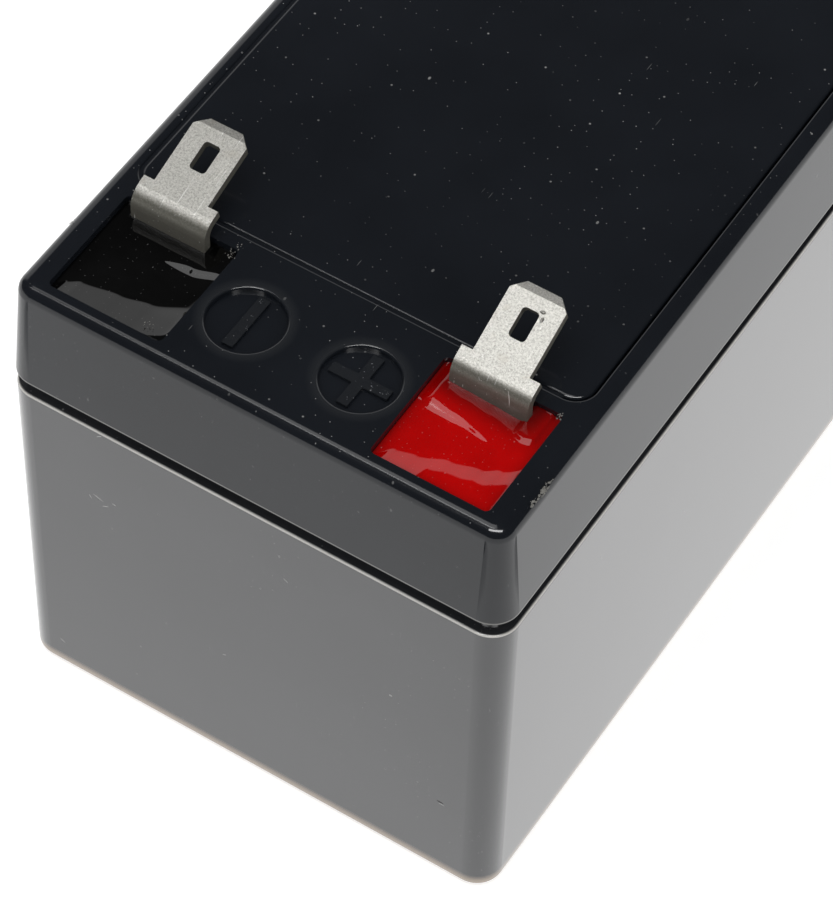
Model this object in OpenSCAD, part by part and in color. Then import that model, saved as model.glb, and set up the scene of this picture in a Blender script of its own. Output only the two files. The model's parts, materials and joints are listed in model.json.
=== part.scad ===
// Sealed lead acid battery, twelve volts, six cells in series.
// The frame has +Z up and its origin at the middle of the base. The length runs along Y, with
// the terminals at the -Y end. The width runs along X, with the negative terminal at -X.

/* [Overall size] */
// Length from the terminal end to the far end
case_len = 97; // [92:1:120]
// Width across the terminal end
case_w = 48; // [46:1:60]
// Height from the base to the lid's top face, without the tabs
body_h = 50; // [48:1:70]
// Radius of the vertical corners
corner_r = 2.5; // [2.2:0.1:3]

/* [Container] */
// Thickness of the outer walls
wall_t = 2; // [1.8:0.1:2.2]
// Thickness of the floor
floor_t = 2.2; // [1.6:0.1:3]
// Thickness of the walls between the cells
partition_t = 1.4; // [1:0.1:2]
// Thickness of the tongue that enters the lid
tongue_t = 1; // [0.8:0.1:1.1]
// Depth of the tongue inside the lid
tongue_depth = 1.9; // [1.5:0.1:2.2]
// Radius of the edge round the base
base_r = 0.8; // [0.4:0.1:1.5]
// Radius of the fine edge along the container's rim
seam_edge_r = 0.25; // [0.1:0.05:0.4]
// Height of the open seam between the container and the lid
seam_gap = 1.6; // [1:0.1:2]

/* [Lid] */
// Height of the lid from its lower edge to its top face
lid_h = 10.9; // [10.5:0.1:13]
// How far the lid's sides lean in between its lower edge and its top face
lid_draft = 0.8; // [0:0.1:1]
// Radius of the edge round the lid's top face
lid_edge_r = 1.2; // [0.8:0.1:1.4]
// Thickness of the skirt outside the tongue
skirt_t = 0.75; // [0.6:0.05:0.8]
// Thickness of the ribs inside the tongue and beside each partition
rib_t = 0.8; // [0.6:0.1:1.2]
// Space for adhesive beside the tongue and the partitions
glue_gap = 0.25; // [0.15:0.05:0.3]
// Space for adhesive above the tongue
glue_head = 0.9; // [0.5:0.1:1.2]
// Thickness of the deck that closes the cells
deck_t = 1.6; // [1.2:0.1:2]
// Depth from the lid's top face to the deck
deck_depth = 6; // [5.5:0.1:7]
// Thickness of the skin between the two wells
skin_t = 2; // [1.5:0.1:2.5]

/* [Terminal wells] */
// Width of a well along X
well_w = 10.9; // [10:0.1:12]
// Length of a well along Y
well_l = 11.3; // [10.5:0.1:12.5]
// Distance from the container's side to the well
well_side = 3.3; // [3:0.1:4]
// Distance from the terminal end to the well
well_end = 2.4; // [2.2:0.1:3]
// Radius of the well's corners
well_r = 0.5; // [0.3:0.1:1]
// How far the sealing resin ends below the lid's top face at the well's edge
seal_drop = 0.15; // [0.05:0.05:0.5]
// Radius of the dish in the resin's top face
dish_r = 50; // [40:5:120]

/* [Polarity marks] */
// Diameter of a round mark
mark_d = 6.7; // [5:0.1:7.5]
// Space between a mark and its well
mark_side = 1.05; // [0.6:0.05:2]
// Depth of a mark
mark_depth = 0.5; // [0.3:0.1:0.8]
// Radius of the mark's rim
mark_rim = 0.2; // [0.1:0.05:0.3]
// Length of the raised bars
mark_bar_l = 5.5; // [4:0.1:6]
// Width of the raised bars
mark_bar_w = 1; // [0.6:0.1:1.4]
// How far the bars end below the lid's top face
mark_bar_drop = 0.2; // [0.1:0.05:0.25]

/* [Cover plate] */
// Thickness of the plate
plate_t = 1.6; // [1.2:0.1:1.8]
// Margin between the lid's sides and the plate's recess, also at the far end
plate_margin = 2.4; // [2.2:0.1:4]
// Distance from the terminal end to the plate's recess
plate_front = 15.2; // [15:0.1:17]
// Gap round the plate
plate_gap = 0.2; // [0.1:0.05:0.4]
// Radius of the edge round the plate's recess
recess_r = 0.2; // [0.1:0.05:0.4]
// Radius of the plate's corners
plate_r = 1.8; // [1:0.1:3]
// Radius of the plate's top edge
plate_edge_r = 0.35; // [0.2:0.05:0.6]
// Width of the ledge that the plate lies on
ledge_w = 1.2; // [0.8:0.1:2]

/* [Valves] */
// Outer diameter of a vent neck
neck_d = 6.4; // [5:0.1:7]
// Height of a vent neck above the deck
neck_h = 3.2; // [2:0.1:3.4]
// Diameter of the vent hole
vent_d = 3; // [2:0.1:3.6]
// Distance of the rows of vents behind the middle of the plate's recess
vent_shift = 0.1; // [-0.5:0.1:0.5]
// Space between the outer caps and the ends of the hollow under the plate
vent_room = 2.3; // [1:0.1:3]
// Wall of the rubber cap
cap_t = 1.3; // [0.8:0.1:1.6]
// Running space between the cap's wall and the neck
cap_fit = 0.05; // [0.02:0.01:0.1]
// Space under the cap's lower edge
cap_lift = 0.5; // [0.3:0.1:1]

/* [Tabs] */
// Thickness of the tab's sheet
tab_t = 0.8; // [0.5:0.1:1]
// Width of the blade
blade_w = 5.2; // [4.7:0.05:6.4]
// Length of the blade beyond its shoulders
blade_l = 6.9; // [6:0.1:8]
// Width of the sheet at its shoulders and leg
shoulder_w = 7.2; // [6.6:0.1:8]
// Length of sheet between the bend and the shoulders
shoulder_l = 0.8; // [0.3:0.1:2]
// Inner radius of the bend
bend_r = 1; // [0.6:0.1:1.5]
// Height above the lid at which the bend begins
bend_rise = 0.5; // [0.2:0.1:2]
// Width of the slot in the blade
slot_w = 1.55; // [1:0.05:2]
// Length of the slot in the blade
slot_l = 2.7; // [2:0.1:3.4]
// Radius of the slot's corners
slot_r = 0.35; // [0.2:0.05:0.5]
// Distance from the blade's tip to the middle of its slot
slot_from_tip = 3.3; // [3:0.1:4]
// Size of the corners cut off the blade's tip
tip_cut = 1.05; // [0.5:0.05:1.4]
// Length of the bevel at the blade's tip
bevel_l = 0.7; // [0.4:0.1:1]
// Distance from the terminal end to the front of the negative tab's leg
neg_leg_y = 12.4; // [11.5:0.1:12.6]
// Distance from the terminal end to the front of the positive tab's leg
pos_leg_y = 11.9; // [11.5:0.1:12.6]
// Lean of the negative blade above the horizontal
neg_lean = 17; // [10:1:90]
// Lean of the positive blade above the horizontal
pos_lean = 24.5; // [10:0.5:90]
// Offset of the negative tab from the middle of its well
neg_shift = -0.7; // [-1:0.1:1]
// Offset of the positive tab from the middle of its well
pos_shift = -0.45; // [-1:0.05:1]

/* [Posts] */
// Diameter of a terminal post
post_d = 4.6; // [4:0.1:5]
// Space between the post and its hole in the deck
post_fit = 0.15; // [0.05:0.05:0.3]
// Diameter of the post's tip, which passes through the tab's foot
tip_d = 3; // [2:0.1:3.4]
// Height of the head that is melted over the tab's foot
head_h = 1.4; // [1:0.1:2]

/* [Cells] */
// Thickness of a positive plate
pos_t = 2.9; // [2:0.1:3.5]
// Thickness of a negative plate
neg_t = 2.1; // [1.4:0.1:2.6]
// Number of positive plates in a cell
pos_count = 2; // [2:1:2]
// Space left across a stack of plates
stack_slack = 0.3; // [0.1:0.1:0.6]
// Space left at each end of the plates
plate_end_gap = 0.5; // [0.2:0.1:1]
// Distance from the deck's underside to the top of the plates
plate_top = 13.7; // [12.5:0.1:20]
// How far the glass mat stands above the plates
mat_over = 1.2; // [0.5:0.1:2]
// Thickness of the mat's fold under a positive plate
fold_t = 1.2; // [0.8:0.1:2]
// Height of the lugs between the plates and the straps
lug_h = 3; // [2.5:0.1:4]
// Length of a lug along Y
lug_l = 4.5; // [3:0.1:5]
// Thickness of a lug
lug_t = 1.5; // [1:0.1:1.9]
// Height of a strap
strap_h = 2.6; // [2:0.1:3]
// Length of a strap along Y
strap_l = 5; // [5:0.1:6]
// Distance from the cell's end wall to the middle of a strap
strap_in = 5.5; // [5:0.1:6]
// Thickness of the flag that stands beside a partition
flag_t = 1.6; // [1.2:0.1:2]
// Width of a flag
flag_w = 8; // [6:0.5:10]
// Height of a flag above its strap
flag_h = 4; // [3.6:0.1:4]
// Diameter of the weld through a partition
weld_d = 3; // [2:0.1:3]
// Space between the weld and its hole
weld_fit = 0.02; // [0.01:0.01:0.05]

/* [Hidden] */
$fn = 48;
over = 1;               // how far a cut runs past the face that it opens
lap = 0.05;             // how far the straight blade runs into the bend that it joins
cell_rows = 3;
cell_count = 2 * cell_rows;
neg_count = pos_count + 1;
end_y = -case_len / 2;  // the terminal end

skirt_z = body_h - lid_h;
rim_z = skirt_z - seam_gap;
tongue_z = skirt_z + tongue_depth;
groove_z = tongue_z + glue_head;
deck_z = body_h - deck_depth;
deck_under = deck_z - deck_t;
plate_z = body_h - plate_t;

cell_w = (case_w - 2 * wall_t - partition_t) / 2;
cell_l = (case_len - 2 * wall_t - (cell_rows - 1) * partition_t) / cell_rows;

well_x = case_w / 2 - well_side - well_w / 2;
well_y = end_y + well_end + well_l / 2;
mark_x = well_x - well_w / 2 - mark_side - mark_d / 2;

plate_w = case_w - 2 * (plate_margin + plate_gap);
plate_l = case_len - plate_front - plate_margin - 2 * plate_gap;
recess_w = plate_w + 2 * plate_gap;
recess_l = plate_l + 2 * plate_gap;
plate_y = end_y + plate_front + plate_gap + plate_l / 2;

cap_r = neck_d / 2 + cap_fit;
vent_pitch = (plate_l - 2 * (ledge_w + vent_room + cap_r + cap_t)) / (cell_rows - 1);

neg_tab_x = -well_x + neg_shift;
pos_tab_x = well_x + pos_shift;
post_y = end_y + wall_t + strap_in;
neg_foot_y = end_y + neg_leg_y;
pos_foot_y = end_y + pos_leg_y;

mat_t = (cell_w - stack_slack - pos_count * pos_t - neg_count * neg_t) / (2 * pos_count);
pitch = pos_t + neg_t + 2 * mat_t;
plate_run = cell_l - 2 * plate_end_gap;
lead_z = deck_under - plate_top;
mat_h = lead_z - floor_t + mat_over;
strap_z = lead_z + lug_h;
flag_z = strap_z + strap_h;
weld_z = flag_z + flag_h / 2;
strap_y = cell_l / 2 - strap_in;

// Column, row and direction of cell k. Cells 1 to 3 run back on the negative side and cells
// 4 to 6 run forward on the positive side.
function column(k) = k <= cell_rows ? -1 : 1;
function row(k) = k <= cell_rows ? k - 1 : cell_count - k;
function heading(k) = k <= cell_rows ? 1 : -1;
function cell_x(k) = column(k) * (partition_t + cell_w) / 2;
function cell_y(k) = end_y + wall_t + cell_l / 2 + row(k) * (cell_l + partition_t);
function vent_y(k) = plate_y + vent_shift + (row(k) - (cell_rows - 1) / 2) * vent_pitch;

// Cuts the lower right corner of an outline back to a circle of radius r round the origin. The
// outline's right side leans in by tilt degrees.
module round_cut(r, tilt) {
    far = r + over;
    difference() {
        polygon([[0, 0], [far * cos(tilt), far * sin(tilt)], [far * cos(tilt), -far], [0, -far]]);
        circle(r);
    }
}

// Outline from x = 0 to x = w with its outer corners rounded and its outer side leaning in
module half_outline(w, h, low_r, top_r, draft = 0) {
    tilt = atan(draft / h);
    difference() {
        polygon([[0, 0], [w, 0], [w - draft, h], [0, h]]);
        if (low_r > 0)
            translate([w - low_r * tan(tilt) - low_r / cos(tilt), low_r]) round_cut(low_r, tilt);
        if (top_r > 0)
            translate([w - (h - top_r) * tan(tilt) - top_r / cos(tilt), h - top_r])
                mirror([0, 1]) round_cut(top_r, -tilt);
    }
}

module full_outline(w, h, low_r, top_r, draft = 0) {
    half_outline(w, h, low_r, top_r, draft);
    mirror([1, 0]) half_outline(w, h, low_r, top_r, draft);
}

// Block centred on the Z axis with round vertical corners and round lower and upper edges
module soft_block(w, l, h, r, low_r = 0, top_r = 0, draft = 0) {
    for (x = [-1, 1], y = [-1, 1])
        translate([x * (w / 2 - r), y * (l / 2 - r), 0])
            rotate_extrude() half_outline(r, h, low_r, top_r, draft);
    translate([0, l / 2 - r, 0]) rotate([90, 0, 0])
        linear_extrude(l - 2 * r) full_outline(w / 2, h, low_r, top_r, draft);
    translate([-(w / 2 - r), 0, 0]) rotate([90, 0, 90])
        linear_extrude(w - 2 * r) full_outline(l / 2, h, low_r, top_r, draft);
}

// Half outline of a cut that opens upwards from depth below z = 0, with a soft rim of radius rim
module sunk_outline(w, depth, rim) {
    translate([0, -depth]) square([w, depth + over]);
    translate([0, -rim]) difference() {
        square([w + rim, rim + over]);
        translate([w + rim, 0]) circle(rim);
    }
}

// Cut for a sunk field with round vertical corners and a soft rim at z = 0
module sunk_block(w, l, depth, r, rim) {
    for (x = [-1, 1], y = [-1, 1])
        translate([x * (w / 2 - r), y * (l / 2 - r), 0])
            rotate_extrude() sunk_outline(r, depth, rim);
    translate([0, l / 2 - r, 0]) rotate([90, 0, 0]) linear_extrude(l - 2 * r) {
        sunk_outline(w / 2, depth, rim);
        mirror([1, 0]) sunk_outline(w / 2, depth, rim);
    }
    translate([-(w / 2 - r), 0, 0]) rotate([90, 0, 90]) linear_extrude(w - 2 * r) {
        sunk_outline(l / 2, depth, rim);
        mirror([1, 0]) sunk_outline(l / 2, depth, rim);
    }
}

// Centred rectangle with round corners
module soft_rectangle(w, l, r) {
    square([w - 2 * r, l], center = true);
    square([w, l - 2 * r], center = true);
    for (x = [-1, 1], y = [-1, 1])
        translate([x * (w / 2 - r), y * (l / 2 - r)]) circle(r);
}

// Upright block between two heights that follows the container's outline, set in by inset
module inset_block(inset, low, high) {
    translate([0, 0, low]) linear_extrude(high - low)
        soft_rectangle(case_w - 2 * inset, case_len - 2 * inset, max(corner_r - inset, 0.2));
}

// Upright walls of thickness t on the planes of the partitions
module partition_walls(t, low, high) {
    translate([-t / 2, end_y + wall_t, low]) cube([t, case_len - 2 * wall_t, high - low]);
    for (i = [1:cell_rows - 1])
        translate([
            -case_w / 2 + wall_t,
            end_y + wall_t + i * (cell_l + partition_t) - (partition_t + t) / 2,
            low
        ]) cube([case_w - 2 * wall_t, t, high - low]);
}

// Round hole or pin through the partition behind cell k
module partition_pin(k, r, length) {
    if (k == cell_rows)
        translate([0, cell_y(k) + strap_y, weld_z])
            rotate([0, 90, 0]) cylinder(h = length, r = r, center = true);
    else
        translate([cell_x(k), cell_y(k) + heading(k) * (cell_l + partition_t) / 2, weld_z])
            rotate([90, 0, 0]) cylinder(h = length, r = r, center = true);
}

module container() {
    color("#26282c") difference() {
        union() {
            soft_block(case_w, case_len, rim_z, corner_r, base_r, seam_edge_r);
            inset_block(wall_t - tongue_t, rim_z - over, tongue_z);
        }
        for (k = [1:cell_count])
            translate([cell_x(k) - cell_w / 2, cell_y(k) - cell_l / 2, floor_t])
                cube([cell_w, cell_l, body_h]);
        for (k = [1:cell_count - 1])
            partition_pin(k, weld_d / 2 + weld_fit, partition_t + over);
    }
}

// Channel in the lid's underside for the tongue and the partitions
module groove(low) {
    difference() {
        inset_block(skirt_t, low, groove_z);
        inset_block(wall_t + glue_gap, low - over, groove_z + over);
    }
    partition_walls(partition_t + 2 * glue_gap, low, groove_z);
}

// Space under the deck over cell k, between the ribs
module head_space(k) {
    side = wall_t + glue_gap + rib_t;
    mid = partition_t / 2 + glue_gap + rib_t;
    first_y = row(k) == 0 ? end_y + side : cell_y(k) - cell_l / 2 - partition_t / 2 + mid;
    last_y = row(k) == cell_rows - 1 ? -end_y - side : cell_y(k) + cell_l / 2 + partition_t / 2 - mid;
    wide = case_w / 2 - side - mid;
    translate([column(k) > 0 ? mid : -mid - wide, first_y, skirt_z - over])
        cube([wide, last_y - first_y, deck_under - skirt_z + over]);
    // Beside the well the two end cells reach up to the skin
    pocket = well_x - well_w / 2 - skin_t - mid;
    if (row(k) == 0)
        translate([column(k) > 0 ? mid : -mid - pocket, first_y, skirt_z - over])
            cube([pocket, plate_front - skin_t - side, body_h - skin_t - skirt_z + over]);
}

module well(side) {
    translate([side * well_x, well_y, deck_z])
        linear_extrude(deck_depth + over) soft_rectangle(well_w, well_l, well_r);
}

// Round sunk field with a soft rim, and a raised bar or cross in it
module mark_field() {
    rotate_extrude() sunk_outline(mark_d / 2, mark_depth, mark_rim);
}

module mark_bars(crossed) {
    bar_h = mark_depth - mark_bar_drop;
    translate([-mark_bar_w / 2, -mark_bar_l / 2, -mark_depth - over])
        cube([mark_bar_w, mark_bar_l, bar_h + over]);
    if (crossed)
        translate([-mark_bar_l / 2, -mark_bar_w / 2, -mark_depth - over])
            cube([mark_bar_l, mark_bar_w, bar_h + over]);
}

module lid() {
    color("#1b1d22") {
        difference() {
            translate([0, 0, skirt_z])
                soft_block(case_w, case_len, lid_h, corner_r, 0, lid_edge_r, lid_draft);
            for (k = [1:cell_count]) head_space(k);
            groove(skirt_z - over);
            for (side = [-1, 1]) well(side);
            for (side = [-1, 1])
                translate([side * mark_x, well_y, body_h]) mark_field();
            for (x = [neg_tab_x, pos_tab_x])
                translate([x, post_y, deck_under - over])
                    cylinder(h = deck_t + 2 * over, d = post_d + 2 * post_fit);
            translate([0, plate_y, body_h])
                sunk_block(recess_w, recess_l, plate_t, plate_r + plate_gap, recess_r);
            difference() {
                translate([0, plate_y, deck_z]) linear_extrude(deck_depth)
                    soft_rectangle(plate_w - 2 * ledge_w, plate_l - 2 * ledge_w, plate_r);
                for (k = [1:cell_count])
                    translate([cell_x(k), vent_y(k), deck_z - over])
                        cylinder(h = neck_h + over, d = neck_d);
            }
            for (k = [1:cell_count])
                translate([cell_x(k), vent_y(k), deck_under - over])
                    cylinder(h = body_h, d = vent_d);
        }
        for (side = [-1, 1])
            translate([side * mark_x, well_y, body_h]) mark_bars(side > 0);
    }
}

module lid_adhesive() {
    color("#8a8f86") difference() {
        groove(skirt_z + glue_gap);
        difference() {
            inset_block(wall_t - tongue_t, rim_z, tongue_z);
            for (k = [1:cell_count])
                translate([cell_x(k) - cell_w / 2, cell_y(k) - cell_l / 2, rim_z - over])
                    cube([cell_w, cell_l, body_h]);
        }
    }
}

module cover_plate() {
    color("#1d1f24") translate([0, plate_y, plate_z])
        soft_block(plate_w, plate_l, plate_t, plate_r, 0, plate_edge_r);
}

module valve_cap(k) {
    color("#3a3b3d") translate([cell_x(k), vent_y(k), 0]) difference() {
        translate([0, 0, deck_z + cap_lift])
            cylinder(h = plate_z - deck_z - cap_lift, r = cap_r + cap_t);
        translate([0, 0, deck_z]) cylinder(h = neck_h, r = cap_r);
    }
}

// Side view of the tab's sheet in Y and Z, with its foot on the deck and its blade leaning back
module sheet_outline(lean, foot_y) {
    foot_l = foot_y - post_y + tip_d;
    outer_r = bend_r + tab_t;
    bend_z = body_h + bend_rise;
    far = 4 * outer_r;
    translate([foot_y - foot_l, deck_z]) square([foot_l + tab_t, tab_t]);
    translate([foot_y, deck_z]) square([tab_t, bend_z - deck_z]);
    translate([foot_y + outer_r, bend_z]) {
        difference() {
            intersection() {
                circle(outer_r);
                polygon([[0, 0], [-far * sin(lean), far * cos(lean)], [-far, far], [-far, 0]]);
            }
            circle(bend_r);
        }
        rotate(lean) translate([-lap, bend_r]) square([lap + shoulder_l + blade_l, tab_t]);
    }
}

// The sheet that is trimmed off the blade, seen square onto it with the bend at y = 0
module blade_waste() {
    tip_y = shoulder_l + blade_l;
    difference() {
        translate([-shoulder_w, shoulder_l]) square([2 * shoulder_w, 2 * blade_l]);
        polygon([
            [-blade_w / 2, 0],
            [blade_w / 2, 0],
            [blade_w / 2, tip_y - tip_cut],
            [blade_w / 2 - tip_cut, tip_y],
            [-blade_w / 2 + tip_cut, tip_y],
            [-blade_w / 2, tip_y - tip_cut]
        ]);
    }
    translate([0, tip_y - slot_from_tip]) soft_rectangle(slot_w, slot_l, slot_r);
}

// Tab bent from one sheet: a foot under the resin, a leg, a bend and a slotted, bevelled blade
module tab(x, lean, foot_y) {
    bevel_tilt = atan(tab_t / 4 / bevel_l);
    translate([x, 0, 0]) difference() {
        translate([-shoulder_w / 2, 0, 0]) rotate([90, 0, 90])
            linear_extrude(shoulder_w) sheet_outline(lean, foot_y);
        translate([0, post_y, deck_z - over]) cylinder(h = tab_t + 2 * over, d = tip_d);
        translate([0, foot_y + bend_r + tab_t, body_h + bend_rise]) rotate([lean, 0, 0]) {
            translate([0, 0, bend_r - over / 2]) linear_extrude(tab_t + over) blade_waste();
            // The bevel takes a quarter of the sheet off each face at the tip
            for (top = [0, 1])
                translate([0, shoulder_l + blade_l - bevel_l, bend_r + top * tab_t])
                    mirror([0, 0, top]) rotate([bevel_tilt, 0, 0])
                        translate([-blade_w, 0, -tab_t]) cube([2 * blade_w, 2 * bevel_l, tab_t]);
        }
    }
}

module negative_tab() {
    color("#c9c9c4") tab(neg_tab_x, neg_lean, neg_foot_y);
}

module positive_tab() {
    color("#c9c9c4") tab(pos_tab_x, pos_lean, pos_foot_y);
}

// Lead post from the strap to the well, with a tip through the tab's foot and a melted head
module post(x) {
    translate([x, post_y, 0]) {
        translate([0, 0, flag_z]) cylinder(h = deck_z - flag_z, d = post_d);
        translate([0, 0, deck_z]) cylinder(h = tab_t, d = tip_d);
        translate([0, 0, deck_z + tab_t]) cylinder(h = head_h, d1 = post_d, d2 = tip_d);
    }
}

module negative_post() {
    color("#7f8389") post(neg_tab_x);
}

module positive_post() {
    color("#7f8389") post(pos_tab_x);
}

// Resin that fills a well round the tab and the post, with a shallow dish on top
module resin_seal(side, x, lean, foot_y) {
    top_z = body_h - seal_drop;
    corner = sqrt(well_w * well_w + well_l * well_l) / 2;
    difference() {
        translate([side * well_x, well_y, deck_z])
            linear_extrude(top_z - deck_z) soft_rectangle(well_w, well_l, well_r);
        translate([side * well_x, well_y, top_z + sqrt(dish_r * dish_r - corner * corner)])
            sphere(dish_r);
        tab(x, lean, foot_y);
        post(x);
    }
}

module negative_resin_seal() {
    color("#101114") resin_seal(-1, neg_tab_x, neg_lean, neg_foot_y);
}

module positive_resin_seal() {
    color("#b30d0d") resin_seal(1, pos_tab_x, pos_lean, pos_foot_y);
}

// Plates of one sort with their lugs and the strap cast onto them. side is -1 at the front of
// the cell and 1 at its back, and joint says what the strap leads to: "end", "mid" or "post".
module plate_group(k, count, t, low, side, joint) {
    run = (count - 1) * pitch + t;
    translate([cell_x(k), cell_y(k), 0]) {
        for (i = [0:count - 1]) translate([(i - (count - 1) / 2) * pitch, 0, 0]) {
            translate([-t / 2, -plate_run / 2, low]) cube([t, plate_run, lead_z - low]);
            translate([-lug_t / 2, side * strap_y - lug_l / 2, lead_z]) cube([lug_t, lug_l, lug_h]);
        }
        translate([-run / 2, side * strap_y - strap_l / 2, strap_z]) cube([run, strap_l, strap_h]);
        if (joint == "end") {
            reach = cell_l / 2 - strap_y;
            translate([-flag_w / 2, side > 0 ? strap_y : -strap_y - reach, strap_z])
                cube([flag_w, reach, strap_h]);
            translate([-flag_w / 2, side > 0 ? cell_l / 2 - flag_t : -cell_l / 2, strap_z])
                cube([flag_w, flag_t, strap_h + flag_h]);
        }
        if (joint == "mid") {
            inner = column(k) > 0 ? -cell_w / 2 : cell_w / 2 - flag_t;
            translate([column(k) > 0 ? -cell_w / 2 : 0, side * strap_y - strap_l / 2, strap_z])
                cube([cell_w / 2, strap_l, strap_h]);
            translate([inner, side * strap_y - strap_l / 2, strap_z])
                cube([flag_t, strap_l, strap_h + flag_h]);
        }
    }
}

module positive_plates(k) {
    joint = k == cell_count ? "post" : k == cell_rows ? "mid" : "end";
    color("#5a3d2b") plate_group(k, pos_count, pos_t, floor_t + fold_t, heading(k), joint);
}

module negative_plates(k) {
    joint = k == 1 ? "post" : k == cell_rows + 1 ? "mid" : "end";
    color("#7b7f85") plate_group(k, neg_count, neg_t, floor_t, -heading(k), joint);
}

// Glass mats of one cell, each folded under and round a positive plate
module glass_mats(k) {
    wrap_w = pos_t + 2 * mat_t;
    color("#ece9df") translate([cell_x(k), cell_y(k) - plate_run / 2, floor_t])
        for (i = [0:pos_count - 1]) translate([(i - (pos_count - 1) / 2) * pitch, 0, 0])
            difference() {
                translate([-wrap_w / 2, 0, 0]) cube([wrap_w, plate_run, mat_h]);
                translate([-pos_t / 2, -over, fold_t]) cube([pos_t, plate_run + 2 * over, body_h]);
            }
}

// Lead weld between two cells, through the partition
module cell_weld(k) {
    color("#8c9096") partition_pin(k, weld_d / 2, partition_t);
}

container();
lid();
lid_adhesive();
cover_plate();
negative_tab();
positive_tab();
negative_resin_seal();
positive_resin_seal();
negative_post();
positive_post();
for (k = [1:cell_count]) {
    valve_cap(k);
    positive_plates(k);
    negative_plates(k);
    glass_mats(k);
}
for (k = [1:cell_count - 1])
    cell_weld(k);
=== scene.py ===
"""Looks of a sealed lead acid battery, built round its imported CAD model."""

import json
import math
import random

import bmesh
import bpy
from mathutils import Matrix, Vector, noise


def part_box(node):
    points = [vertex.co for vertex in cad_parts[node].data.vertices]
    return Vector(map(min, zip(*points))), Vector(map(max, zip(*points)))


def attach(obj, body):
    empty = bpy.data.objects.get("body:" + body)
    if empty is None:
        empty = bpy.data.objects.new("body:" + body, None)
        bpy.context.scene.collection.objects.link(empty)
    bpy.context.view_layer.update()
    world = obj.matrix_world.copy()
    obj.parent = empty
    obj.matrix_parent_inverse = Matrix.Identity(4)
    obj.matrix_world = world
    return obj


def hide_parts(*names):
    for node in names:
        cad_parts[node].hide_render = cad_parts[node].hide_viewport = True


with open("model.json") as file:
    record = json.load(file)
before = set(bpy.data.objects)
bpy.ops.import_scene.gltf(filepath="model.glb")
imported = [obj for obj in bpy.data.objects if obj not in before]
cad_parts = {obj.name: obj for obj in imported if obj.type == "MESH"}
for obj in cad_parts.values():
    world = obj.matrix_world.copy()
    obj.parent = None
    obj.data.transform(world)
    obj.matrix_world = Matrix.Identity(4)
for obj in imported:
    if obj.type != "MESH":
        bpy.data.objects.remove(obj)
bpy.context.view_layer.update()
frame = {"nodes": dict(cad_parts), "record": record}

MM = 0.001
NODES = frame["nodes"]

# The photograph's frame and the camera that fits the battery's edges in it
PHOTO_W = 833
FOCAL_PX = 4173.6
CAMERA_AT = Vector((113.637, -212.769, 306.956)) * MM
CAMERA_AZIMUTH = 30.841
CAMERA_ELEVATION = 52.581
CAMERA_ROLL = 1.994

# Sizes that the resin and the marks take from the CAD nodes
LID_LOW, LID_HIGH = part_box("lid")
TOP_Z = LID_HIGH.z
SHEET_T = 0.8 * MM
LID_FOOT = TOP_Z - 10.9 * MM
CASE_RIM = LID_FOOT - 1.6 * MM
LEG_FRONT = {"negative_tab": LID_LOW.y + 12.4 * MM, "positive_tab": LID_LOW.y + 11.9 * MM}


def socket(node, name):
    return node.inputs[name]


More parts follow.
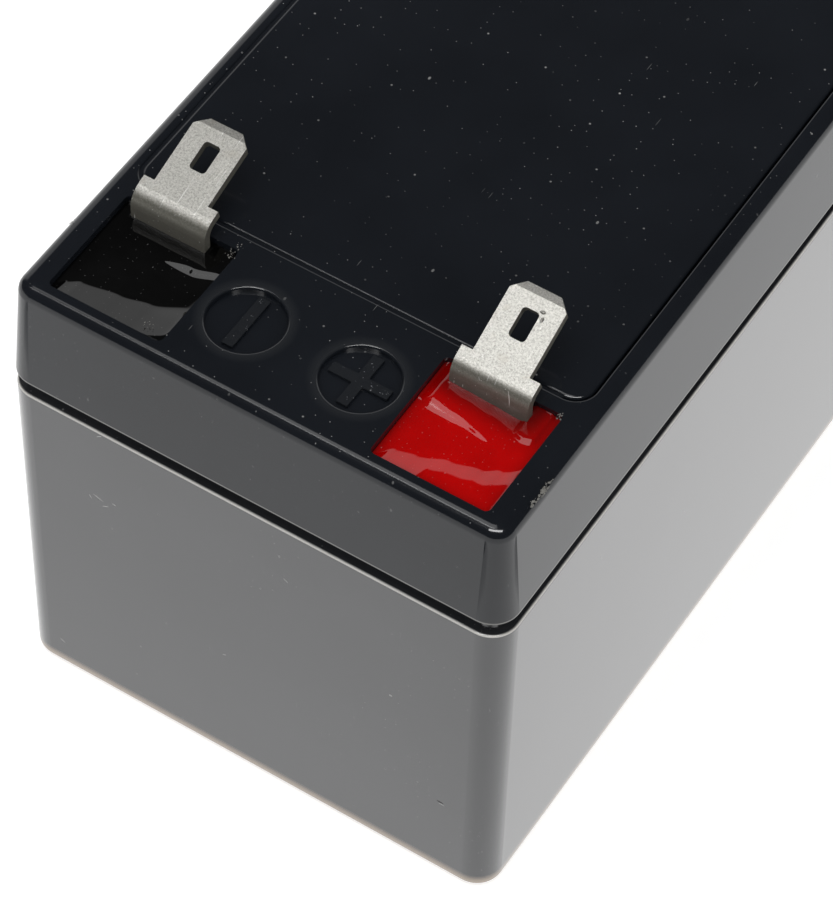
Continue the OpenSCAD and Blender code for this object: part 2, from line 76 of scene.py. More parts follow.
class Shader:
    """A material with one Principled shader and helpers that add nodes to it."""

    def __init__(self, name):
        self.material = bpy.data.materials.new(name)
        self.material.use_nodes = True
        self.nodes = self.material.node_tree.nodes
        self.links = self.material.node_tree.links
        self.shader = self.nodes["Principled BSDF"]
        self.place = self.nodes.new("ShaderNodeTexCoord").outputs["Object"]

    def set(self, **values):
        for name, value in values.items():
            self.shader.inputs[name.replace("_", " ")].default_value = value

    def node(self, kind, **values):
        made = self.nodes.new(kind)
        for name, value in values.items():
            setattr(made, name, value)
        return made

    def mapped(self, scale, turn=(0, 0, 0)):
        """The object's coordinates in metres, scaled and turned"""
        mapping = self.node("ShaderNodeMapping")
        mapping.inputs["Scale"].default_value = scale
        mapping.inputs["Rotation"].default_value = turn
        self.links.new(self.place, mapping.inputs["Vector"])
        return mapping.outputs["Vector"]

    def noise(self, scale, detail=3.0, rough=0.5, stretch=(1, 1, 1), turn=(0, 0, 0)):
        made = self.node("ShaderNodeTexNoise")
        made.inputs["Scale"].default_value = scale
        made.inputs["Detail"].default_value = detail
        made.inputs["Roughness"].default_value = rough
        self.links.new(self.mapped(stretch, turn), made.inputs["Vector"])
        return made.outputs["Fac"]

    def skin(self):
        """Flat coordinates in metres: X and Y on level faces, X + Y and Z on upright ones"""
        split = self.node("ShaderNodeSeparateXYZ")
        self.links.new(self.place, split.inputs[0])
        facing = self.node("ShaderNodeSeparateXYZ")
        self.links.new(self.node("ShaderNodeNewGeometry").outputs["Normal"], facing.inputs[0])
        level = self.math("GREATER_THAN", facing.outputs["Z"], 0.6)
        around = self.math("ADD", split.outputs["X"], split.outputs["Y"])
        ends = []
        for upright, flat in ((around, split.outputs["X"]), (split.outputs["Z"], split.outputs["Y"])):
            step = self.math("SUBTRACT", flat, upright)
            ends.append(self.math("ADD", upright, self.math("MULTIPLY", step, level)))
        joined = self.node("ShaderNodeCombineXYZ")
        for index, value in enumerate(ends):
            self.links.new(value, joined.inputs[index])
        return joined.outputs[0], level, facing.outputs["Z"], split.outputs["Z"]

    def flecks(self, skin, cell, width, stretch=1.0, turn=0.0, share=0.5):
        """Light flecks in a share of square cells, stretched into short hairlines"""
        mapping = self.node("ShaderNodeMapping")
        mapping.inputs["Scale"].default_value = (1 / cell, 1 / cell / stretch, 1)
        mapping.inputs["Rotation"].default_value = (0, 0, turn)
        self.links.new(skin, mapping.inputs["Vector"])
        made = self.node("ShaderNodeTexVoronoi", voronoi_dimensions="2D")
        made.inputs["Scale"].default_value = 1.0
        self.links.new(mapping.outputs["Vector"], made.inputs["Vector"])
        size = width / cell
        spot = self.remap(made.outputs["Distance"], size * 0.6, size, 1, 0)
        tint = self.node("ShaderNodeSeparateXYZ")
        self.links.new(made.outputs["Color"], tint.inputs[0])
        chosen = self.math("LESS_THAN", tint.outputs["X"], share)
        power = self.math("MULTIPLY", chosen, self.remap(tint.outputs["Y"], 0, 1, 0.25, 1))
        return self.math("MULTIPLY", spot, power)

    def spot(self, skin, centre, size, turn=0.0):
        """One soft-edged oval mark at a place on the skin"""
        moved = self.node("ShaderNodeVectorMath", operation="SUBTRACT")
        self.links.new(skin, moved.inputs[0])
        moved.inputs[1].default_value = (centre[0], centre[1], 0)
        mapping = self.node("ShaderNodeMapping")
        mapping.inputs["Rotation"].default_value = (0, 0, turn)
        self.links.new(moved.outputs[0], mapping.inputs["Vector"])
        scaled = self.node("ShaderNodeVectorMath", operation="MULTIPLY")
        self.links.new(mapping.outputs["Vector"], scaled.inputs[0])
        scaled.inputs[1].default_value = (1 / size[0], 1 / size[1], 0)
        length = self.node("ShaderNodeVectorMath", operation="LENGTH")
        self.links.new(scaled.outputs[0], length.inputs[0])
        return self.remap(length.outputs["Value"], 0.6, 1.0, 1, 0)

    def highest(self, values):
        result = values[0]
        for value in values[1:]:
            result = self.math("MAXIMUM", result, value)
        return result

    def specks(self, scale, size):
        """White where a cell's centre is closer than size, in cells"""
        made = self.node("ShaderNodeTexVoronoi")
        made.inputs["Scale"].default_value = scale
        self.links.new(self.mapped((1, 1, 1)), made.inputs["Vector"])
        return self.remap(made.outputs["Distance"], size * 0.5, size, 1, 0)

    def remap(self, value, low, high, to_low=0.0, to_high=1.0):
        made = self.node("ShaderNodeMapRange")
        for name, number in (
            ("From Min", low),
            ("From Max", high),
            ("To Min", to_low),
            ("To Max", to_high),
        ):
            made.inputs[name].default_value = number
        self.links.new(value, made.inputs["Value"])
        return made.outputs["Result"]

    def math(self, operation, first, second):
        made = self.node("ShaderNodeMath", operation=operation)
        for index, value in enumerate((first, second)):
            if isinstance(value, (int, float)):
                made.inputs[index].default_value = value
            else:
                self.links.new(value, made.inputs[index])
        return made.outputs[0]

    def mix(self, factor, first, second):
        made = self.node("ShaderNodeMix", data_type="RGBA")
        self.links.new(factor, made.inputs["Factor"])
        for name, value in (("A", first), ("B", second)):
            colour_socket = [s for s in made.inputs if s.name == name and s.type == "RGBA"][0]
            if isinstance(value, tuple):
                colour_socket.default_value = (*value, 1)
            else:
                self.links.new(value, colour_socket)
        return [s for s in made.outputs if s.type == "RGBA"][0]

    def link(self, output, name):
        self.links.new(output, self.shader.inputs[name])

    def bump(self, height, distance, strength=1.0, under=None):
        made = self.node("ShaderNodeBump")
        made.inputs["Distance"].default_value = distance
        made.inputs["Strength"].default_value = strength
        self.links.new(height, made.inputs["Height"])
        if under is not None:
            self.links.new(under, made.inputs["Normal"])
        return made.outputs["Normal"]


# Small knocks on the upright faces, in mm: X + Y, Z, half length, half width, and turn in degrees
KNOCKS = (
    (-63.6, 28.3, 0.61, 0.068, 20),
    (-62.9, 27.6, 0.44, 0.06, -30),
    (-64.4, 27.9, 0.28, 0.051, 60),
    (-62.0, 28.5, 0.24, 0.068, 5),
    (-63.1, 37.0, 0.39, 0.051, -40),
    (-29.3, 10.5, 0.33, 0.068, 5),
    (-68.6, 3.6, 0.33, 0.068, 30),
    (-34.6, 22.5, 0.18, 0.119, 0),
    (-51.2, 15.2, 0.22, 0.051, -20),
    (-44.9, 30.8, 0.33, 0.051, 35),
    (-8.6, 31.0, 0.5, 0.051, 75),
    (6.5, 20.3, 0.66, 0.051, 60),
)


def sign_zones(made, above):
    """A lighter ring painted round each sunk polarity mark as the sheen of a soft shoulder, and the tops of its bars
    """
    split = made.node("ShaderNodeSeparateXYZ")
    made.links.new(made.place, split.inputs[0])
    side = made.math("SUBTRACT", made.math("ABSOLUTE", split.outputs["X"], 0), 5.4 * MM)
    along_y = made.math("SUBTRACT", split.outputs["Y"], LID_LOW.y + 8.05 * MM)
    squares = made.math("ADD", made.math("POWER", side, 2), made.math("POWER", along_y, 2))
    radius = made.math("SQRT", squares, 0)
    # Mask of the painted sheen ring: 0.7 just outside the mark's rim, fading out between 3.6 and 4.4 mm
    outside = made.remap(radius, 3.35 * MM, 3.5 * MM)
    around = made.math("MULTIPLY", outside, made.remap(radius, 3.6 * MM, 4.4 * MM, 0.7, 0))
    inside = made.math("LESS_THAN", radius, 3.0 * MM)
    raised = made.math("GREATER_THAN", above, TOP_Z - 0.35 * MM)
    return around, made.math("MULTIPLY", inside, raised)


def plastic(name, base, coat, roughness, wear, signs=False):
    """Black moulded plastic with a faint ripple, short hairlines and dust, painted highlight lines at the lid's
    lower edge and under the case's rim, and with signs a painted sheen round the polarity marks
    """
    made = Shader(name)
    made.set(Roughness=roughness, IOR=1.5, Coat_Weight=coat, Coat_Roughness=0.05, Coat_IOR=1.5)
    cloudy = made.remap(made.noise(60, 4, 0.6), 0.3, 0.7)
    lighter = tuple(channel * 1.4 + 0.001 for channel in base)
    colour = made.mix(cloudy, base, lighter)
    skin, level, upness, above = made.skin()
    patch = made.remap(made.noise(110, 2), 0.42, 0.62, 0.25, 1)
    dust = made.highest(
        [
            made.flecks(skin, 0.0011, 0.000055, share=0.30),
            made.flecks(skin, 0.0032, 0.00011, share=0.26),
            made.flecks(skin, 0.0075, 0.00013, 1.6, 0.9, 0.22),
        ]
    )
    hairs = made.highest(
        [
            made.flecks(skin, 0.0019, 0.00003, 14, 0.55, 0.20),
            made.flecks(skin, 0.0024, 0.00003, 18, -0.85, 0.18),
            made.flecks(skin, 0.0030, 0.00003, 12, 1.9, 0.20),
        ]
    )
    strewn = made.math("MULTIPLY", dust, patch)
    marks = made.math("MAXIMUM", strewn, made.math("MULTIPLY", hairs, 0.4))
    marks = made.math("MULTIPLY", marks, made.remap(level, 0, 1, wear * 0.45, wear))
    knocks = []
    for across, up, long, thin, turn in KNOCKS:
        knocks.append(made.spot(skin, (across * MM, up * MM), (long * MM, thin * MM), math.radians(turn)))
    chips = made.math("MULTIPLY", made.highest(knocks), made.remap(level, 0, 1, 1, 0))
    marks = made.math("MAXIMUM", marks, chips)
    nick = made.math("SUBTRACT", made.spot(skin, (-29.45 * MM, 10.72 * MM), (0.42 * MM, 0.09 * MM), 0.05), level)
    colour = made.mix(marks, colour, (0.34, 0.34, 0.33))
    foot = made.remap(above, 0.0009, 0.0017, 0.75, 0)
    colour = made.mix(foot, colour, (0.60, 0.48, 0.37))
    # Painted highlight: thin pale lines just above the lid's lower edge and just under the case's rim stand for the
    # highlights on their rounded edges
    for edge, power in ((LID_FOOT + 0.08 * MM, 0.25), (CASE_RIM - 0.10 * MM, 0.85)):
        away = made.math("ABSOLUTE", made.math("SUBTRACT", above, edge), 0)
        colour = made.mix(made.remap(away, 0.00004, 0.00010, power, 0), colour, (0.80, 0.78, 0.74))
    colour = made.mix(nick, colour, (0.004, 0.003, 0.002))
    rough = made.remap(marks, 0, 1, roughness, 0.6)
    if signs:
        around, bars = sign_zones(made, above)
        # Painted sheen: the ring round each polarity mark is lightened
        colour = made.mix(around, colour, (0.022, 0.024, 0.027))
        cast = made.math("MULTIPLY", bars, made.remap(made.noise(1500, 4, 0.7), 0.3, 0.7))
        colour = made.mix(cast, colour, (0.012, 0.014, 0.017))
        glints = made.remap(made.noise(2600, 3, 0.7), 0.66, 0.72, 0, 0.7)
        colour = made.mix(made.math("MULTIPLY", bars, glints), colour, (0.30, 0.31, 0.33))
        rough = made.math("MAXIMUM", rough, made.remap(bars, 0, 1, 0, 0.26))
    made.link(colour, "Base Color")
    made.link(made.math("MAXIMUM", rough, nick), "Roughness")
    made.link(made.remap(nick, 0, 1, coat, 0), "Coat Weight")
    ripple = made.bump(made.noise(55, 2, 0.5), 0.00004, 0.5)
    made.link(made.bump(marks, 0.00002, 0.4, ripple), "Normal")
    return made.material


def tinned_metal(name):
    """Tinned sheet with fine grain, grey blotches, brown stains and bright scratches, and painted shade on its
    tilted and upright faces
    """
    made = Shader(name)
    made.set(Metallic=0.8)
    skin, level, upness, above = made.skin()
    blotch = made.remap(made.noise(6500, 5, 0.8), 0.28, 0.56)
    colour = made.mix(blotch, (0.19, 0.185, 0.165), (0.60, 0.59, 0.55))
    stain = made.remap(made.noise(420, 3, 0.6), 0.60, 0.72, 0, 0.5)
    colour = made.mix(stain, colour, (0.42, 0.385, 0.33))
    # Painted shade: faces tilted away from the top, such as the bends, are darkened, and upright faces such as the
    # legs more so; Metallic is also lowered on upright faces
    tilt_shade = made.math("MULTIPLY", made.remap(upness, 0.62, 0.86, 1, 0), made.remap(blotch, 0, 1, 0.95, 0.7))
    colour = made.mix(tilt_shade, colour, (0.20, 0.195, 0.155))
    colour = made.mix(made.remap(upness, 0.25, 0.6, 0.8, 0), colour, (0.07, 0.066, 0.055))
    scratches = made.highest(
        [
            made.flecks(skin, 0.00065, 0.00005, 26, 0.12, 0.5),
            made.flecks(skin, 0.0010, 0.00005, 22, -0.22, 0.45),
            made.flecks(skin, 0.0006, 0.000035, 6, 0.7, 0.30),
            made.flecks(skin, 0.0005, 0.00004, 1, 0, 0.25),
        ]
    )
    colour = made.mix(made.math("MULTIPLY", scratches, 0.7), colour, (0.95, 0.95, 0.92))
    made.link(colour, "Base Color")
    made.link(made.remap(upness, 0.25, 0.6, 0.1, 0.75), "Metallic")
    made.link(made.remap(blotch, 0, 1, 0.48, 0.36), "Roughness")
    grain = made.bump(made.noise(4200, 4, 0.6), 0.00002, 0.5)
    made.link(made.bump(scratches, 0.00003, 0.5, grain), "Normal")
    return made.material


def resin(name, base, deep):
    """Poured glossy resin with slight clouding and a few specks"""
    made = Shader(name)
    made.set(Roughness=0.04, IOR=1.5, Coat_Weight=0.3, Coat_Roughness=0.03)
    cloudy = made.remap(made.noise(220, 4, 0.6), 0.35, 0.7)
    colour = made.mix(cloudy, deep, base)
    skin, level, upness, above = made.skin()
    dust = made.highest(
        [
            made.flecks(skin, 0.0006, 0.00004, share=0.30),
            made.flecks(skin, 0.0021, 0.00006, 1.5, 0.6, 0.30),
        ]
    )
    pale = tuple(0.20 + 0.8 * channel for channel in base)
    colour = made.mix(made.math("MULTIPLY", dust, 0.6), colour, pale)
    open_sky = made.node("ShaderNodeAttribute", attribute_name="open_sky").outputs["Fac"]
    colour = made.mix(open_sky, tuple(0.22 * channel for channel in deep), colour)
    made.link(colour, "Base Color")
    made.link(made.bump(made.noise(300, 2, 0.5), 0.00001, 0.3), "Normal")
    return made.material


def mottled(name, dark, light, scale, roughness, metallic=0.0, relief=0.00003):
    """Plain mottled finish for the pieces inside the battery"""
    made = Shader(name)
    made.set(Metallic=metallic, Roughness=roughness)
    made.link(made.mix(made.noise(scale, 5, 0.65), dark, light), "Base Color")
    made.link(made.bump(made.noise(scale * 4, 4, 0.6), relief, 0.6), "Normal")
    return made.material


MATERIALS = {
    "case_plastic": plastic("case_plastic", (0.022, 0.023, 0.026), 1.0, 0.16, 1.0),
    "lid_plastic": plastic("lid_plastic", (0.0065, 0.008, 0.011), 0.25, 0.14, 0.9, True),
    "adhesive": mottled("adhesive", (0.012, 0.012, 0.013), (0.03, 0.03, 0.032), 400, 0.5),
    "tinned_metal": tinned_metal("tinned_metal"),
    "black_resin": resin("black_resin", (0.003, 0.003, 0.003), (0.001, 0.001, 0.001)),
    "red_resin": resin("red_resin", (0.54, 0.0003, 0.0003), (0.44, 0.0, 0.0)),
    "lead": mottled("lead", (0.16, 0.165, 0.18), (0.34, 0.345, 0.36), 700, 0.5, 1.0),
    "cap_rubber": mottled("cap_rubber", (0.012, 0.012, 0.012), (0.03, 0.03, 0.03), 900, 0.75),
    "positive_paste": mottled("positive_paste", (0.05, 0.022, 0.012), (0.12, 0.06, 0.035), 500, 0.9),
    "negative_paste": mottled("negative_paste", (0.14, 0.145, 0.15), (0.27, 0.275, 0.28), 500, 0.8),
    "worn_plastic": mottled("worn_plastic", (0.01, 0.01, 0.01), (0.34, 0.33, 0.30), 3200, 0.4),
    "glass_mat": mottled("glass_mat", (0.62, 0.61, 0.56), (0.85, 0.84, 0.80), 1200, 0.95),
}


def dress_cad_nodes():
    """Gives every CAD node the material of its slot in the record"""
    for part in frame["record"]["subparts"]:
        mesh = NODES[part["node"]].data
        mesh.materials.clear()
        mesh.materials.append(MATERIALS[part["material_slot"]])


def along(knots, at):
    """Value at a place along a list of (place, value) knots, eased between them"""
    if at <= knots[0][0]:
        return knots[0][1]
    for (start, first), (end, last) in zip(knots, knots[1:]):
        if at <= end:
            part = (at - start) / (end - start)
            return first + (last - first) * part * part * (3 - 2 * part)
    return knots[-1][1]


def ease(distance, soft):
    """Zero on one side and the distance itself on the other, with a soft turn between"""
    return (distance + math.sqrt(distance * distance + soft * soft)) / 2


# How each pour lies in its well, in mm from the well's left front corner: where its front part
# starts to rise, where that rise ends, and the middle and width of the drops in front of the leg
POURS = {
    "negative_tab": {
        "rise_from": ((0, 0.3), (0.8, 1.7), (1.9, 2.25), (5.3, 2.8), (7.8, 3.3), (10.9, 4.6)),
        "rise_to": ((0, -1.0), (10.9, -1.0)),
        "drops": (
            (
                ((5.2, 7.6), (8.4, 8.0), (10.9, 8.7)),
                ((5.2, 0), (8.4, 0.65), (10.9, 0.60)),
            ),
        ),
        "front_lower": True,
        "seed": 3,
    },
    "positive_tab": {
        "rise_from": ((0, 0.4), (1.4, 1.9), (3.2, 2.3), (5.7, 3.25), (8.1, 3.85), (9.5, 4.6), (10.9, 5.4)),
        "rise_to": ((0, -1.0), (4.0, -0.6), (4.6, 1.4), (7.0, 1.9), (9.1, 2.4), (10.9, 3.6)),
        "drops": (
            (
                ((0, 7.05), (3.8, 6.8), (7.7, 6.25)),
                ((0.2, 0.15), (1.2, 0.95), (3.0, 0.75), (5.5, 0.42), (7.7, 0)),
            ),
            (
                ((8.0, 8.15), (9.1, 7.9), (10.3, 8.15)),
                ((8.0, 0), (8.5, 0.45), (9.8, 0.5), (10.3, 0)),
            ),
        ),
        "front_lower": False,
        "seed": 8,
    },
}


def resin_piece(name, node, tab_node, slot):
    """Poured resin that rises to the front wall in a wavy line and drops away in front of the leg"""
    low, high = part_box(node)
    tab_low, tab_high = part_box(tab_node)
    leg_front = LEG_FRONT[tab_node]
    pour = POURS[tab_node]
    steps = 150
    level = TOP_Z - 0.80 * MM
    most = TOP_Z - 0.03 * MM
    rise = 0.19
    drop = 0.46
    random.seed(pour["seed"])
    shift = Vector((random.uniform(0, 9), random.uniform(0, 9), 0))

    def light(x, y):
        """How open a place is to the light, away from the walls and from under the tab"""
        to_wall = min(x - low.x, high.x - x, y - low.y, high.y - y) / MM
        out_x = max(tab_low.x - x, 0, x - tab_high.x)
        to_leg = math.hypot(out_x, max(leg_front - y, 0)) / MM
        by_wall = 1 - 0.55 * math.exp(-to_wall / 0.45)
        return by_wall * (1 - 0.80 * math.exp(-((to_leg / 1.5) ** 2)))

    def height(x, y):
        u = (x - low.x) / MM
        v = (y - low.y) / MM
        bank = ease(along(pour["rise_from"], u) - v, 0.22) - ease(along(pour["rise_to"], u) - v, 0.22)
        result = level + rise * bank * MM
        for middles, widths in pour["drops"]:
            middle = along(middles, u)
            half = along(widths, u) / 2
            if half > 0 and pour["front_lower"]:
                step = ease(middle + half - v, 0.10) - ease(middle - half - v, 0.10)
                result -= drop * step * along(((2.2, 0), (7.4, 1)), v) * MM
            elif half > 0:
                step = ease(v - middle + half, 0.10) - ease(v - middle - half, 0.10)
                result += drop * step * MM
        out_x = max(tab_low.x - x, 0, x - tab_high.x)
        out_y = max(leg_front - y, 0, y - leg_front - SHEET_T)
        to_leg = math.hypot(out_x, out_y)
        result += 0.12 * MM * math.exp(-to_leg / (0.40 * MM))
        result += 0.10 * MM * math.exp(-(x - low.x) / (0.60 * MM))
        result += 0.12 * MM * math.exp(-(high.x - x) / (0.25 * MM))
        result += 0.15 * MM * math.exp(-(high.y - y) / (0.50 * MM))
        result += 0.004 * MM * noise.noise(Vector((x, y, 0)) / (1.8 * MM) + shift)
        return min(result, most)

    build = bmesh.new()
    inset = 0.01 * MM
    grid = []
    for row in range(steps + 1):
        y = low.y + inset + (high.y - low.y - 2 * inset) * row / steps
        line = []
        for column in range(steps + 1):
            x = low.x + inset + (high.x - low.x - 2 * inset) * column / steps
            line.append(build.verts.new((x, y, height(x, y))))
        grid.append(line)
    for row in range(steps):
        for column in range(steps):
            build.faces.new(
                (grid[row][column], grid[row][column + 1], grid[row + 1][column + 1], grid[row + 1][column])
            )
    rim = [edge for edge in build.edges if edge.is_boundary]
    skirt = bmesh.ops.extrude_edge_only(build, edges=rim)["geom"]
    for vertex in skirt:
        if isinstance(vertex, bmesh.types.BMVert):
            vertex.co.z = low.z
    bmesh.ops.holes_fill(build, edges=[edge for edge in build.edges if edge.is_boundary])
    bmesh.ops.recalc_face_normals(build, faces=build.faces)
    mesh = bpy.data.meshes.new(name)
    build.to_mesh(mesh)
    build.free()
    open_sky = mesh.attributes.new("open_sky", "FLOAT", "POINT")
    for index, vertex in enumerate(mesh.vertices):
        open_sky.data[index].value = light(vertex.co.x, vertex.co.y)
    for face in mesh.polygons:
        face.use_smooth = True
    piece = bpy.data.objects.new(name, mesh)
    bpy.context.scene.collection.objects.link(piece)
    mesh.materials.append(MATERIALS[slot])
    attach(piece, "root")
    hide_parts(node)
    return piece


# Crumbs and burrs on the lid, in mm: name, centre X and Y, spread along X and Y, height above the
# lid's top face, most size, and count
CRUMBS = (
    ("edge_burr", 23.05, -42.0, 0.22, 1.6, -0.22, 0.30, 46),
    ("black_well_crumbs", -10.1, -35.0, 0.55, 0.9, 0.0, 0.16, 26),
    ("red_well_crumbs", 20.5, -35.0, 0.35, 0.35, 0.0, 0.17, 12),
    ("left_edge_nick", -22.9, -39.6, 0.12, 0.35, -0.15, 0.15, 9),
    ("front_well_crumbs", -11.6, -45.2, 0.5, 0.5, 0.0, 0.13, 9),
)


def crumbs(name, x, y, spread_x, spread_y, lift, size, count):
    """Small broken bits of plastic that lie on the lid"""
    random.seed(name)
    build = bmesh.new()
    for index in range(count):
        made = bmesh.ops.create_icosphere(build, subdivisions=1, radius=1)["verts"]
        width = size * MM * random.uniform(0.25, 1.0) * 0.5
        place = Vector(
            (
                (x + random.gauss(0, spread_x * 0.5)) * MM,
                (y + random.uniform(-spread_y, spread_y)) * MM,
                TOP_Z + lift * MM,
            )
        )
        stretch = Vector((random.uniform(0.5, 1.2), random.uniform(0.5, 1.6), random.uniform(0.4, 0.8)))
        for vertex in made:
            knock = 1 + random.uniform(-0.35, 0.35)
            vertex.co = place + Vector(a * b for a, b in zip(vertex.co, stretch)) * width * knock
    mesh = bpy.data.meshes.new(name)
    build.to_mesh(mesh)
    build.free()
    piece = bpy.data.objects.new(name, mesh)
    bpy.context.scene.collection.objects.link(piece)
    mesh.materials.append(MATERIALS["worn_plastic"])
    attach(piece, "root")


def weld_flash():
    """Narrow bead of plastic in the gap at the cover plate's front, left and rear edges"""
    low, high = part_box("cover_plate")
    out = 0.10 * MM
    turn = 1.8 * MM
    half = 0.16 * MM
    top = TOP_Z - 0.16 * MM
    corners = (
        (high.x - turn, low.y + turn, None),
        (low.x + turn, low.y + turn, 270),
        (low.x + turn, high.y - turn, 180),
        (high.x - turn, high.y - turn, 90),
    )
    line = [(Vector((high.x - turn, low.y - out, 0)), Vector((0, -1, 0)))]
    for x, y, start in corners[1:3]:
        for step in range(13):
            angle = math.radians(start - 90 * step / 12)
            away = Vector((math.cos(angle), math.sin(angle), 0))
            line.append((Vector((x, y, 0)) + away * (turn + out), away))
    line.append((Vector((high.x - turn, high.y + out, 0)), Vector((0, 1, 0))))
    build = bmesh.new()
    rings = []
    for place, away in line:
        ring = []
        for side, level in ((-1, top), (1, top), (1, top - 0.3 * MM), (-1, top - 0.3 * MM)):
            spot = place + away * half * side
            ring.append(build.verts.new((spot.x, spot.y, level)))
        rings.append(ring)
    for first, second in zip(rings, rings[1:]):
        for index in range(4):
            following = (index + 1) % 4
            build.faces.new((first[index], first[following], second[following], second[index]))
    build.faces.new(rings[0])
    build.faces.new(rings[-1])
    bmesh.ops.recalc_face_normals(build, faces=build.faces)
    mesh = bpy.data.meshes.new("weld_flash")
    build.to_mesh(mesh)
    build.free()
    piece = bpy.data.objects.new("weld_flash", mesh)
    bpy.context.scene.collection.objects.link(piece)
    mesh.materials.append(MATERIALS["lid_plastic"])
    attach(piece, "root")


# The tabs' blades: X of the middle, Y of the leg's front, and lean in degrees
BLADES = {
    "negative_tab": (-15.95 * MM, LEG_FRONT["negative_tab"], math.radians(17)),
    "positive_tab": (14.8 * MM, LEG_FRONT["positive_tab"], math.radians(24.5)),
}
BEND_OUTER = 1.8 * MM
BEND_RISE = 0.5 * MM


def on_blade(tab, across, up, lift=0.0):
    """Place on a blade's upper face, in mm across from its middle and up from its bend"""
    x, y, lean = BLADES[tab]
    reach = BEND_OUTER + lift * MM
    return Vector(
        (
            x + across * MM,
            y + BEND_OUTER - reach * math.sin(lean) + up * MM * math.cos(lean),
            TOP_Z + BEND_RISE + reach * math.cos(lean) + up * MM * math.sin(lean),
        )
    )


def tab_wear(name, tab, strokes, lumps):
    """Raised scratches, as narrow ridges, and small lumps on a blade's upper face"""
    random.seed(name)
    build = bmesh.new()
    for across, up, to_across, to_up, width in strokes:
        start = on_blade(tab, across, up, -0.01)
        end = on_blade(tab, to_across, to_up, -0.01)
        side = (end - start).cross(Vector((0, 0, 1))).normalized() * width * MM / 2
        middle = (start + end) / 2
        crest = build.verts.new(middle + Vector((0, 0, 0.03 * MM)))
        ring = [build.verts.new(spot) for spot in (start, middle + side, end, middle - side)]
        for index in range(4):
            build.faces.new((ring[index], ring[(index + 1) % 4], crest))
        build.faces.new(list(reversed(ring)))
    for across, up, lift, size_x, size_y, size_z in lumps:
        made = bmesh.ops.create_icosphere(build, subdivisions=3, radius=1)["verts"]
        centre = on_blade(tab, across, up, lift)
        for vertex in made:
            knock = 1 + 0.22 * noise.noise(vertex.co * 2.1 + centre * 900)
            scaled = Vector((vertex.co.x * size_x, vertex.co.y * size_y, vertex.co.z * size_z))
            vertex.co = centre + scaled * knock * MM
    bmesh.ops.recalc_face_normals(build, faces=build.faces)
    mesh = bpy.data.meshes.new(name)
    build.to_mesh(mesh)
    build.free()
    piece = bpy.data.objects.new(name, mesh)
    bpy.context.scene.collection.objects.link(piece)
    mesh.materials.append(MATERIALS["tinned_metal"])
    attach(piece, "root")


def seen_as_white(nodes, links, surface, strength=1.0):
    """Shows white in gloss and in transmission, and the given surface to all other rays"""
    path = nodes.new("ShaderNodeLightPath")
    either = nodes.new("ShaderNodeMath")
    either.operation = "MAXIMUM"
    links.new(path.outputs["Is Glossy Ray"], either.inputs[0])
    links.new(path.outputs["Is Transmission Ray"], either.inputs[1])
    white = nodes.new("ShaderNodeEmission")
    white.inputs["Strength"].default_value = strength
    place = nodes.new("ShaderNodeTexCoord")
    split = nodes.new("ShaderNodeSeparateXYZ")
    links.new(place.outputs["Object"], split.inputs[0])
    graded = map_range(nodes, links, split.outputs["Y"], -0.10, 0.02, 0.88 * strength, strength)
    links.new(graded, white.inputs["Strength"])
    blend = nodes.new("ShaderNodeMixShader")
    links.new(either.outputs[0], blend.inputs["Fac"])
    links.new(surface, blend.inputs[1])
    links.new(white.outputs[0], blend.inputs[2])
    return blend.outputs[0], path


def make_floor():
    """Plain pale floor that keeps the battery's shadow"""
    size = 4.0
    bpy.ops.mesh.primitive_plane_add(size=size)
    floor = bpy.context.object
    floor.name = "floor"
    made = bpy.data.materials.new("floor_white")
    made.use_nodes = True
    nodes, links = made.node_tree.nodes, made.node_tree.links
    shader = nodes["Principled BSDF"]
    shader.inputs["Base Color"].default_value = (0.9, 0.9, 0.9, 1)
    shader.inputs["Roughness"].default_value = 0.9
    shader.inputs["Specular IOR Level"].default_value = 0.0
    output = nodes["Material Output"]
    surface, path = seen_as_white(nodes, links, shader.outputs[0])
    lift = nodes.new("ShaderNodeEmission")
    links.new(path.outputs["Is Camera Ray"], lift.inputs["Strength"])
    lift.inputs["Color"].default_value = (0.55, 0.55, 0.55, 1)
    total = nodes.new("ShaderNodeAddShader")
    links.new(surface, total.inputs[0])
    links.new(lift.outputs[0], total.inputs[1])
    links.new(total.outputs[0], output.inputs["Surface"])
    floor.data.materials.append(made)


def map_range(nodes, links, value, low, high, to_low, to_high):
    made = nodes.new("ShaderNodeMapRange")
    for name, number in (("From Min", low), ("From Max", high), ("To Min", to_low), ("To Max", to_high)):
        made.inputs[name].default_value = number
    links.new(value, made.inputs["Value"])
    return made.outputs["Result"]


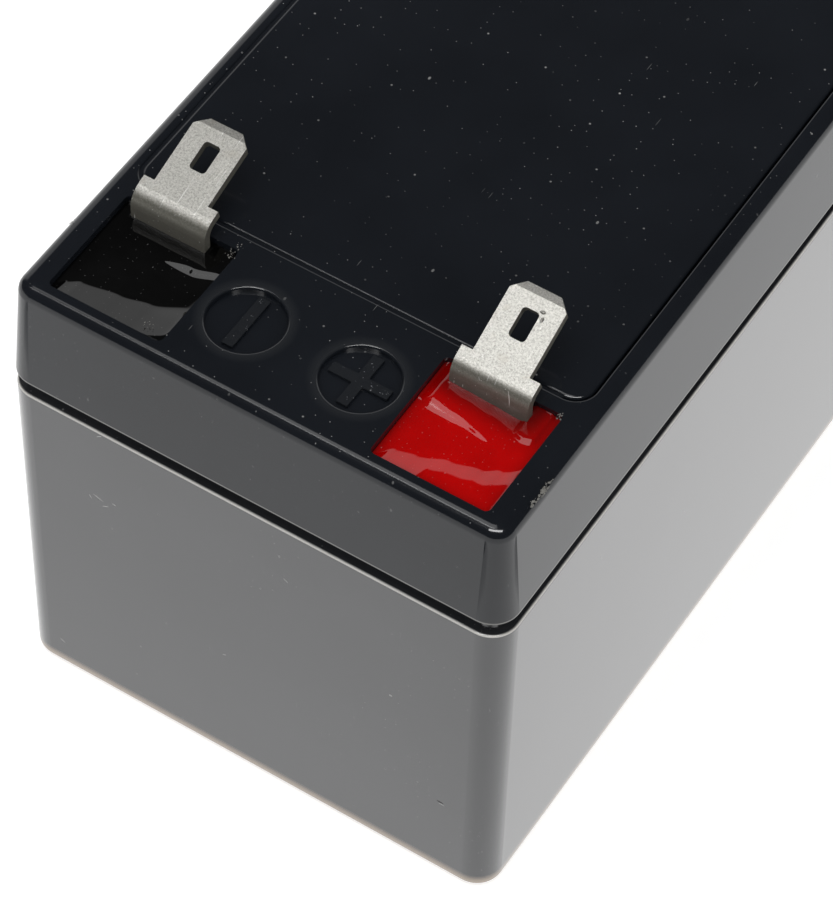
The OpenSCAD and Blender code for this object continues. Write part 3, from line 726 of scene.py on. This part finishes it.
def make_world():
    """Soft even light, with a pale backdrop low down and a dim studio above it in reflections"""
    world = bpy.data.worlds.new("studio")
    bpy.context.scene.world = world
    world.use_nodes = True
    nodes, links = world.node_tree.nodes, world.node_tree.links
    background = nodes["Background"]
    background.inputs["Color"].default_value = (1, 1, 1, 1)
    background.inputs["Strength"].default_value = 0.8
    place = nodes.new("ShaderNodeTexCoord")
    split = nodes.new("ShaderNodeSeparateXYZ")
    links.new(place.outputs["Generated"], split.inputs[0])
    low = map_range(nodes, links, split.outputs["Z"], math.sin(math.radians(35)), math.sin(math.radians(40)), 0.8, 0)
    far = map_range(nodes, links, split.outputs["Y"], 0.1, 0.3, 0, 1)
    left = map_range(nodes, links, split.outputs["X"], 0.15, 0.35, 1, 0)
    level = low
    for other in (far, left):
        product = nodes.new("ShaderNodeMath")
        product.operation = "MULTIPLY"
        links.new(level, product.inputs[0])
        links.new(other, product.inputs[1])
        level = product.outputs[0]
    dim = nodes.new("ShaderNodeMath")
    links.new(level, dim.inputs[0])
    dim.inputs[1].default_value = 0.05
    seen = nodes.new("ShaderNodeBackground")
    links.new(dim.outputs[0], seen.inputs["Strength"])
    path = nodes.new("ShaderNodeLightPath")
    either = nodes.new("ShaderNodeMath")
    either.operation = "MAXIMUM"
    links.new(path.outputs["Is Glossy Ray"], either.inputs[0])
    links.new(path.outputs["Is Transmission Ray"], either.inputs[1])
    blend = nodes.new("ShaderNodeMixShader")
    links.new(either.outputs[0], blend.inputs["Fac"])
    links.new(background.outputs[0], blend.inputs[1])
    links.new(seen.outputs[0], blend.inputs[2])
    camera_white = nodes.new("ShaderNodeBackground")
    camera_white.inputs["Strength"].default_value = 1.0
    last = nodes.new("ShaderNodeMixShader")
    links.new(path.outputs["Is Camera Ray"], last.inputs["Fac"])
    links.new(blend.outputs[0], last.inputs[1])
    links.new(camera_white.outputs[0], last.inputs[2])
    links.new(last.outputs[0], nodes["World Output"].inputs["Surface"])


def aim(thing, target):
    thing.rotation_euler = (target - thing.location).to_track_quat("-Z", "Y").to_euler()


def direction(azimuth, elevation):
    """Unit vector from the battery towards a place, with azimuth 0 in front of the terminals"""
    a, e = math.radians(azimuth), math.radians(elevation)
    return Vector((math.sin(a) * math.cos(e), -math.cos(a) * math.cos(e), math.sin(e)))


def softbox(name, azimuth, elevation, distance, width, height, radiance):
    """Square lamp with an even radiance, aimed at the terminals"""
    light = bpy.data.lights.new(name, "AREA")
    light.shape = "RECTANGLE"
    light.size = width
    light.size_y = height
    light.energy = radiance * math.pi * width * height
    lamp = bpy.data.objects.new(name, light)
    bpy.context.scene.collection.objects.link(lamp)
    target = Vector((0, LID_LOW.y + 20 * MM, TOP_Z))
    lamp.location = target + direction(azimuth, elevation) * distance
    aim(lamp, target)
    return lamp


def make_lights():
    key = softbox("key", 26, 60, 0.9, 0.85, 0.20, 11.0)
    key.visible_diffuse = False
    strip = softbox("strip", -50, 66, 0.9, 0.60, 0.028, 8.5)
    strip.rotation_euler = (0, 0, 0)
    strip.visible_diffuse = False
    softbox("overhead", -60, 78, 0.9, 0.50, 0.40, 1.6)


def make_camera():
    data = bpy.data.cameras.new("camera")
    data.sensor_fit = "HORIZONTAL"
    data.sensor_width = 36.0
    data.lens = FOCAL_PX / PHOTO_W * data.sensor_width
    data.clip_start = 0.01
    camera = bpy.data.objects.new("camera", data)
    bpy.context.scene.collection.objects.link(camera)
    back = direction(CAMERA_AZIMUTH, CAMERA_ELEVATION)
    level = back.to_track_quat("Z", "Y")
    camera.rotation_mode = "QUATERNION"
    roll = Matrix.Rotation(math.radians(CAMERA_ROLL), 4, back).to_quaternion()
    camera.rotation_quaternion = roll @ level
    camera.location = CAMERA_AT
    bpy.context.scene.camera = camera


def main():
    make_camera()
    make_world()
    make_lights()
    make_floor()
    dress_cad_nodes()
    resin_piece("black_resin_pour", "negative_resin_seal", "negative_tab", "black_resin")
    resin_piece("red_resin_pour", "positive_resin_seal", "positive_tab", "red_resin")
    for row in CRUMBS:
        crumbs(*row)
    weld_flash()
    tab_wear(
        "negative_blade_scratches",
        "negative_tab",
        (
            (2.35, 6.3, 1.35, 1.3, 0.10),
            (2.10, 6.0, 1.55, 3.2, 0.09),
            (1.75, 7.1, 1.45, 5.0, 0.08),
            (1.35, 7.0, 0.95, 5.9, 0.08),
            (2.45, 5.2, 2.05, 2.2, 0.08),
            (0.35, 7.1, 0.60, 5.9, 0.08),
            (1.60, 4.6, 1.15, 1.9, 0.07),
            (-1.6, 3.0, -1.1, 1.2, 0.07),
        ),
        (),
    )
    tab_wear(
        "positive_tab_burrs",
        "positive_tab",
        (
        ),
        (
            (0.86, 5.95, 0.02, 0.24, 0.16, 0.10),
            (1.12, 5.40, 0.02, 0.13, 0.30, 0.08),
        ),
    )
    bpy.context.scene.view_settings.view_transform = "Standard"


main()
